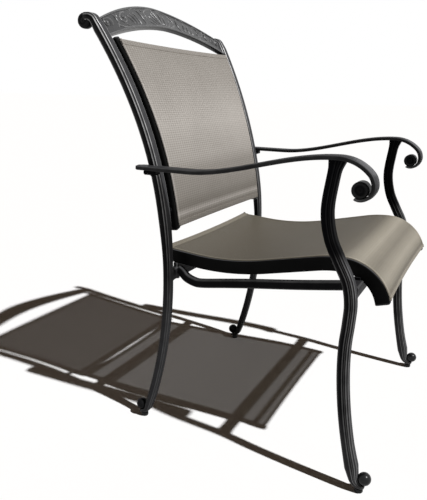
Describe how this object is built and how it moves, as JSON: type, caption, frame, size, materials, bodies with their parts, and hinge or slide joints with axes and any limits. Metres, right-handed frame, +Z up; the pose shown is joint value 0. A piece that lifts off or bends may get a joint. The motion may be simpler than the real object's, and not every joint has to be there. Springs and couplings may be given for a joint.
{
  "type": "sling patio armchair",
  "caption": "High-back cast metal patio armchair with scrolled arms, a leaf crest rail, and woven slings stretched between side rails for the seat and the back.",
  "frame": {"origin": "the point on the floor under the middle of the chair's bounding box", "axes": "+Z up; -Y is the way the chair faces; +X is the sitter's left"},
  "size_m": [0.6726, 0.7098, 0.9646],
  "materials": {
    "frame": "charcoal powder coat, semi-gloss",
    "rail": "black powder coat, semi-gloss",
    "hardware": "dark plated",
    "plastic": "black moulded",
    "sling": "open woven taupe sling cloth"
  },
  "bodies": {
    "root": {"back_lower_spreader": "hardware", "back_sling": "sling", "back_upper_spreader": "hardware", "crest_rail": "frame", "front_cross_bar": "frame", "left_arm": "frame", "left_arm_rear_bracket": "frame", "left_arm_scroll_ball": "frame", "left_back_lower_bolt": "hardware", "left_back_lower_spacer": "frame", "left_back_rail": "rail", "left_back_rail_bottom_cap": "plastic", "left_back_rail_top_cap": "plastic", "left_back_spline": "plastic", "left_back_upper_bolt": "hardware", "left_back_upper_spacer": "frame", "left_front_foot_ball": "frame", "left_front_glide": "plastic", "left_front_leg": "frame", "left_rear_foot_ball": "frame", "left_rear_glide": "plastic", "left_rear_post": "frame", "left_seat_block": "frame", "left_seat_front_bolt": "hardware", "left_seat_rail": "rail", "left_seat_rail_front_cap": "plastic", "left_seat_rail_rear_cap": "plastic", "left_seat_rear_bolt": "hardware", "left_seat_spline": "plastic", "left_side_bar": "frame", "rear_cross_bar": "frame", "right_arm": "frame", "right_arm_rear_bracket": "frame", "right_arm_scroll_ball": "frame", "right_back_lower_bolt": "hardware", "right_back_lower_spacer": "frame", "right_back_rail": "rail", "right_back_rail_bottom_cap": "plastic", "right_back_rail_top_cap": "plastic", "right_back_spline": "plastic", "right_back_upper_bolt": "hardware", "right_back_upper_spacer": "frame", "right_front_foot_ball": "frame", "right_front_glide": "plastic", "right_front_leg": "frame", "right_rear_foot_ball": "frame", "right_rear_glide": "plastic", "right_rear_post": "frame", "right_seat_block": "frame", "right_seat_front_bolt": "hardware", "right_seat_rail": "rail", "right_seat_rail_front_cap": "plastic", "right_seat_rail_rear_cap": "plastic", "right_seat_rear_bolt": "hardware", "right_seat_spline": "plastic", "right_side_bar": "frame", "seat_front_spreader": "hardware", "seat_rear_spreader": "hardware", "seat_sling": "sling"}
  },
  "joints": []
}
